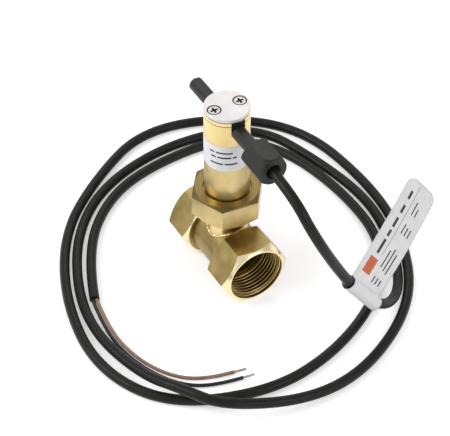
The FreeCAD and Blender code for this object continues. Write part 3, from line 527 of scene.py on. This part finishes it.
# Painted shade darkens the thread's valleys; a painted highlight brightens the counterbore at the
# mouth.
thread_brass = metal("thread_brass", (0.38, 0.26, 0.09), (0.50, 0.35, 0.13), 0.28, 2000,
                     (6, 1, 1), 0.000008)
tree = thread_brass.node_tree
shader = tree.nodes["Principled BSDF"]
depth = distance(tree, (0, 0, 0), (1, 0, 0))
valley_shade = ramp_mask(tree, distance(tree, (0, 0, PORT_AXIS), (0, 1, 1)),
                   CREST_RADIUS + VALLEY_SHADE_START, CREST_RADIUS + VALLEY_SHADE_FULL)
behind_mouth = ramp_mask(tree, depth, COUNTERBORE_X, COUNTERBORE_X - 0.4)
lay_over(tree, shader, join(tree, "MULTIPLY", valley_shade, behind_mouth), VALLEY_SHADE_COLOR, 0.45)
lay_over(tree, shader, ramp_mask(tree, depth, COUNTERBORE_X - 0.3, COUNTERBORE_X),
         MOUTH_HIGHLIGHT_COLOR, 0.26)

dress("tee_run", run_brass)
dress("tee_neck", neck_brass)
thread_stations = [END_X, COUNTERBORE_X + 0.9, COUNTERBORE_X + 0.02]
thread_stations += [COUNTERBORE_X - (COUNTERBORE_X - SEAT_X) * i / THREAD_ROWS
                    for i in range(THREAD_ROWS + 1)]
for name, side in (("inlet_end", -1), ("outlet_end", 1)):
    dress(name, socket_brass)
    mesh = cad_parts[name].data.copy()
    edit = bmesh.new()
    edit.from_mesh(mesh)
    wall = []
    for face in edit.faces:
        reach = [math.hypot(v.co.y, v.co.z - PORT_AXIS * MM) / MM for v in face.verts]
        if (min(reach) > CREST_RADIUS - WALL_TOLERANCE
                and max(reach) < MOUTH_RADIUS + WALL_TOLERANCE):
            wall.append(face)
    bmesh.ops.delete(edit, geom=wall, context="FACES")
    edit.to_mesh(mesh)
    edit.free()
    shell = bpy.data.objects.new(name + "_shell", mesh)
    scene.collection.objects.link(shell)
    stand_in(shell, "switch_body", name)
    points = []
    for x in thread_stations:
        for j in range(THREAD_COLUMNS):
            angle = 2 * math.pi * j / THREAD_COLUMNS
            turn = (x / PITCH - angle / (2 * math.pi)) % 1
            flank = min(1, max(0, (abs(2 * turn - 1) - 0.5) * FLANK_STEEPNESS + 0.5))
            cut = STRAIGHT_SHARE * flank + ROUND_SHARE * flank * flank * (3 - 2 * flank)
            radius = CREST_RADIUS + THREAD_DEPTH * cut
            # The lead-in chamfer opens the first turn, and the last one runs out before the seat.
            radius = max(radius, MOUTH_RADIUS - (COUNTERBORE_X - x) * LEAD_IN_SLOPE)
            radius += (CREST_RADIUS - radius) * min(1, max(0, (SEAT_X + RUN_OUT - x) / RUN_OUT))
            if x > COUNTERBORE_X:
                radius = MOUTH_RADIUS
            points.append((side * x, radius * math.cos(angle),
                           PORT_AXIS + radius * math.sin(angle)))
    thread = new_mesh(name + "_thread", points,
                      grid_faces(len(thread_stations), THREAD_COLUMNS, True))
    thread.data.materials.append(thread_brass)
    stand_in(thread, "switch_body", name)

# The braze that joins the neck to the run has run into a rounded, slightly lumpy bead.
BEAD_RADIUS = 0.85
BEAD_COLUMNS = 144
BEAD_SIDES = 12
COARSE_LUMP, COARSE_COUNT = 0.10, 13
FINE_LUMP, FINE_COUNT = 0.07, 29
braze = metal("braze", (0.66, 0.51, 0.26), (0.80, 0.64, 0.36), 0.24, 1800, (1, 1, 1), 0.00003)
points = []
for j in range(BEAD_COLUMNS):
    angle = 2 * math.pi * j / BEAD_COLUMNS
    across = NECK_RADIUS * math.sin(angle)
    seam = Vector((NECK_RADIUS * math.cos(angle), across,
                   PORT_AXIS + math.sqrt(RUN_RADIUS ** 2 - across ** 2)))
    outward = Vector((math.cos(angle), math.sin(angle), 0))
    upward = Vector((0, 0, 1))
    lump = BEAD_RADIUS * (1 + COARSE_LUMP * math.sin(COARSE_COUNT * angle)
                          + FINE_LUMP * math.sin(FINE_COUNT * angle + 1))
    for k in range(BEAD_SIDES):
        turn = 2 * math.pi * k / BEAD_SIDES
        points.append(seam + (outward * math.cos(turn) + upward * math.sin(turn)) * lump)
bead = new_mesh("braze_bead", points, grid_faces(BEAD_COLUMNS, BEAD_SIDES, True))
ring = bmesh.new()
ring.from_mesh(bead.data)
ring.verts.ensure_lookup_table()
last = (BEAD_COLUMNS - 1) * BEAD_SIDES
for k in range(BEAD_SIDES):
    beside = (k + 1) % BEAD_SIDES
    face = ring.faces.new([ring.verts[last + k], ring.verts[last + beside], ring.verts[beside],
                           ring.verts[k]])
    face.smooth = True
bmesh.ops.recalc_face_normals(ring, faces=ring.faces)
ring.to_mesh(bead.data)
ring.free()
bead.data.materials.append(braze)
stand_in(bead, "switch_body")

# ---------------------------------------------------------------- union nut
# A hexagonal union nut, machined from brass bar, screwed on the neck's collar. It draws the
# housing tube's flange down on a flat rubber gasket.
NUT_SHOULDER = 61.0
NUT_TOP_FADE = 0.6
# Painted shade on the nut's top face.
NUT_TOP_SHADE_COLOR = (0.20, 0.145, 0.055)


def height_of(tree):
    """Height above the floor plane, in metres, fixed to the piece."""
    coords = tree.nodes.new("ShaderNodeTexCoord")
    split = tree.nodes.new("ShaderNodeSeparateXYZ")
    tree.links.new(coords.outputs["Object"], split.inputs[0])
    return split.outputs["Z"]


nut_brass = metal("nut_brass", (0.54, 0.41, 0.18), (0.73, 0.57, 0.27), 0.32, 3000, (1, 1, 3),
                  0.00001, 0.0003)
tree = nut_brass.node_tree
# Its top face is painted darker: painted shade for the dark surroundings that it reflects.
lay_over(tree, tree.nodes["Principled BSDF"],
         ramp_mask(tree, height_of(tree), NUT_SHOULDER, NUT_SHOULDER + NUT_TOP_FADE),
         NUT_TOP_SHADE_COLOR)
dress("union_nut", nut_brass)
dress("housing_gasket", seal_rubber)

# ---------------------------------------------------------------- housing tube and its label
# The tube is turned from brass bar, bored blind from below and polished round. A strip of white
# film is glued round it; its print is three broken rules.
LABEL_RADIUS = 13.17
RULE_HALF_WIDTH = 0.55
RULES = ((99.0, -26, -12), (99.0, -8, 34), (95.6, -22, -8), (95.6, -4, 30), (95.6, 34, 44),
         (91.0, -24, 10), (91.0, 14, 46))
LABEL_FRONT = 40
RULE_STEPS = 21
polished_brass = metal("polished_brass", (0.80, 0.62, 0.28), (0.88, 0.70, 0.34), 0.32, 2500,
                       (1, 1, 6), 0.000004)
label_film = moulded("label_film", (0.74, 0.74, 0.76), (0.80, 0.80, 0.82), 0.36, 1500,
                     0.000004, 0.5)
dress("switch_housing", polished_brass)
dress("tube_label", label_film)
points = []
faces = []
for height, first_angle, last_angle in RULES:
    first = len(points)
    for i in range(RULE_STEPS):
        turn = first_angle + (last_angle - first_angle) * i / (RULE_STEPS - 1)
        angle = math.radians(LABEL_FRONT + turn)
        for z in (height - RULE_HALF_WIDTH, height + RULE_HALF_WIDTH):
            points.append((LABEL_RADIUS * math.sin(angle), -LABEL_RADIUS * math.cos(angle), z))
    faces += grid_faces(RULE_STEPS, 2, False, first)
rules = new_mesh("label_rules", points, faces)
rules.data.materials.append(dark_ink)
stand_in(rules, "switch_body")

# ---------------------------------------------------------------- clamped top
# A slotted brass ring, a rubber pad and a pale metal cover clamp the contact rod in the tube's
# open slot. Two countersunk cross-recess screws pull them down.
SCREW_Y = 8.1
HEAD_TOP = 122.95
HEAD_RADIUS = 3.7
SINK_RADIUS = 4.05
RECESS_EDGE = 0.58
RECESS_REACH = 2.15
RING_TOP = 121.1
RING_BOTTOM = 118.1
RECESS_FADE = 0.08
JOINT_WIDTH = 0.5
JOINT_CORE = 0.4
GAP_SHADE = (0.012, 0.011, 0.010)
JOINT_COLOR = (0.05, 0.035, 0.015)
pale_metal = metal("pale_metal", (0.64, 0.615, 0.60), (0.73, 0.705, 0.69), 0.42, 4000,
                   (1, 8, 1), 0.000004, 0.0002)
pale_metal.node_tree.nodes["Principled BSDF"].inputs["Metallic"].default_value = 0.3
tree = pale_metal.node_tree
# Painted shade darkens each countersink, where the gap round the screw head lies in shadow.
sunk = ramp_mask(tree, distance(tree, (0, SCREW_Y, 0), (1, 1, 0), True),
                 SINK_RADIUS + 0.1, SINK_RADIUS)
lay_over(tree, tree.nodes["Principled BSDF"], sunk, GAP_SHADE, 0.6)
screw_steel = metal("screw_steel", (0.40, 0.385, 0.37), (0.52, 0.505, 0.49), 0.36, 4000,
                    (1, 1, 1), 0.000005)
tree = screw_steel.node_tree
# Painted shade darkens each screw's cross recess, a cross a little wider than it, and a ring at
# the head's edge.
recess = ramp_mask(tree, height_of(tree), HEAD_TOP - 0.03, HEAD_TOP - 0.12)
rim = ramp_mask(tree, distance(tree, (0, SCREW_Y, 0), (1, 1, 0), True),
                HEAD_RADIUS - 0.4, HEAD_RADIUS - 0.3)
marks = join(tree, "MAXIMUM", recess, rim)
across_x = distance(tree, (0, 0, 0), (1, 0, 0))
across_y = distance(tree, (0, SCREW_Y, 0), (0, 1, 0), True)
for wide, long in ((across_x, across_y), (across_y, across_x)):
    slot = join(tree, "MULTIPLY", ramp_mask(tree, wide, RECESS_EDGE + RECESS_FADE, RECESS_EDGE),
                ramp_mask(tree, long, RECESS_REACH + RECESS_FADE, RECESS_REACH))
    marks = join(tree, "MAXIMUM", marks, slot)
lay_over(tree, tree.nodes["Principled BSDF"], marks, GAP_SHADE, 0.6)
# The ring's joints with the cover and the tube show as thin dark lines.
ring_brass = metal("ring_brass", (0.80, 0.63, 0.32), (0.87, 0.70, 0.38), 0.24, 2500,
                   (1, 1, 6), 0.000004, 0.0002)
tree = ring_brass.node_tree
height = height_of(tree)
joints = join(tree, "MAXIMUM",
              ramp_mask(tree, height, RING_TOP - JOINT_WIDTH, RING_TOP - JOINT_CORE),
              ramp_mask(tree, height, RING_BOTTOM + JOINT_WIDTH, RING_BOTTOM + JOINT_CORE))
lay_over(tree, tree.nodes["Principled BSDF"], joints, JOINT_COLOR, 0.5)
dress("clamp_ring", ring_brass)
dress("clamp_pad", seal_rubber)
dress("cover_plate", pale_metal)
dress("cover_screws", screw_steel)

# ---------------------------------------------------------------- paddle and its carrier
# A turned brass carrier drops into the branch bore and holds the pin in two ears. Pin, arm, disc
# and rivets are stainless steel, nylon bushes on the pin centre the arm, and a magnet caps it. A
# plastic clip in the tube holds the magnet that draws it back.
turned_brass = metal("turned_brass", (0.58, 0.44, 0.20), (0.70, 0.54, 0.27), 0.28, 3000,
                     (1, 1, 6), 0.00001)
stainless = metal("stainless", (0.48, 0.48, 0.48), (0.58, 0.58, 0.58), 0.28, 3500,
                  (1, 1, 7), 0.000005)
magnet_grey = metal("magnet_grey", (0.16, 0.16, 0.17), (0.22, 0.22, 0.23), 0.42, 5000,
                    (1, 1, 1), 0.00001)
dress("paddle_carrier", turned_brass)
dress("pivot_bushes", white_plastic)
for name in ("pivot_pin", "paddle_arm", "paddle_disc", "paddle_rivets"):
    dress(name, stainless)
for name in ("paddle_magnet", "reset_magnet"):
    dress(name, magnet_grey)
dress("magnet_clip", white_plastic)

# ---------------------------------------------------------------- contact rod
# A black moulded rod with a flat along its top slides in the tube's slot. A glass reed contact in
# a plastic sleeve lies in it, and its tinned leads end in the resin cast into the rod's mouth.
potting_resin = moulded("potting_resin", (0.02, 0.02, 0.02), (0.035, 0.035, 0.035), 0.25, 900,
                        0.00003)
reed_glass, glass_tree, glass_shader = surface("reed_glass", (0.82, 0.92, 0.86), 0.06)
glass_shader.inputs["Transmission Weight"].default_value = 0.9
glass_shader.inputs["IOR"].default_value = 1.5
relief(glass_tree, glass_shader, grain(glass_tree, 700), 0.00001)
dress("reed_rod", black_plastic)
dress("reed_contact", reed_glass)
dress("reed_sleeve", white_plastic)
dress("reed_leads", tinned_wire)
dress("rod_potting", potting_resin)

# ---------------------------------------------------------------- studio
# A plain pale floor, three soft lamps, and a sky that is bright at the horizon, dips just above
# it, brightens again at middle height and is darkest overhead.
FLOOR_HALF = 3000
FLOOR_GLOW = 0.42
SKY = ((0.5, (0.92, 0.92, 0.92)), (0.64, (0.62, 0.62, 0.63)), (0.8, (0.78, 0.78, 0.79)),
       (1.0, (0.45, 0.45, 0.46)))
floor_paint, tree, shader = surface("floor_paint", (0.80, 0.80, 0.80), 0.9)
tree.links.new(tint(tree, grain(tree, 8, 2), (0.795, 0.795, 0.795), (0.805, 0.805, 0.805)),
               shader.inputs["Base Color"])
shader.inputs["Specular IOR Level"].default_value = 0.0
path = tree.nodes.new("ShaderNodeLightPath")
seen = path.outputs["Is Camera Ray"]
for ray in ("Is Glossy Ray", "Is Transmission Ray"):
    wider = tree.nodes.new("ShaderNodeMath")
    wider.operation = "MAXIMUM"
    tree.links.new(seen, wider.inputs[0])
    tree.links.new(path.outputs[ray], wider.inputs[1])
    seen = wider.outputs["Value"]
glow = tree.nodes.new("ShaderNodeMath")
glow.operation = "MULTIPLY"
glow.inputs[1].default_value = FLOOR_GLOW
tree.links.new(seen, glow.inputs[0])
shader.inputs["Emission Color"].default_value = (1, 1, 1, 1)
tree.links.new(glow.outputs["Value"], shader.inputs["Emission Strength"])
corners = [(x * FLOOR_HALF, y * FLOOR_HALF, 0) for x, y in ((-1, -1), (1, -1), (1, 1), (-1, 1))]
floor = new_mesh("floor", corners, [(0, 1, 2, 3)], False)
floor.data.materials.append(floor_paint)

world = bpy.data.worlds.new("studio")
scene.world = world
world.use_nodes = True
tree = world.node_tree
coords = tree.nodes.new("ShaderNodeTexCoord")
split = tree.nodes.new("ShaderNodeSeparateXYZ")
tree.links.new(coords.outputs["Generated"], split.inputs[0])
sky = tree.nodes.new("ShaderNodeValToRGB")
stops = sky.color_ramp.elements
stops[0].position, stops[1].position = SKY[0][0], SKY[-1][0]
for height, color in SKY[1:-1]:
    stops.new(height)
for stop, (height, color) in zip(stops, SKY):
    stop.color = (*color, 1)
upward = tree.nodes.new("ShaderNodeMapRange")
upward.inputs["From Min"].default_value = -1
tree.links.new(split.outputs["Z"], upward.inputs["Value"])
tree.links.new(upward.outputs["Result"], sky.inputs["Fac"])
tree.links.new(sky.outputs["Color"], tree.nodes["Background"].inputs["Color"])
tree.nodes["Background"].inputs["Strength"].default_value = 1.0


def lamp(name, at, size, power):
    """Soft rectangular lamp aimed at the middle of the switch."""
    data = bpy.data.lights.new(name, "AREA")
    data.shape = "RECTANGLE"
    data.size, data.size_y = size
    data.energy = power
    light = bpy.data.objects.new(name, data)
    scene.collection.objects.link(light)
    light.location = at
    aim = Vector((0, 0, PIVOT_HEIGHT_M)) - Vector(at)
    light.rotation_euler = aim.to_track_quat("-Z", "Y").to_euler()


lamp("key", (-0.35, -0.95, 0.95), (0.7, 0.7), 8.5)
lamp("fill", (1.05, 0.35, 0.8), (0.8, 0.6), 4)
lamp("rear", (-0.88, 0.50, 1.0), (0.9, 0.8), 3.0)
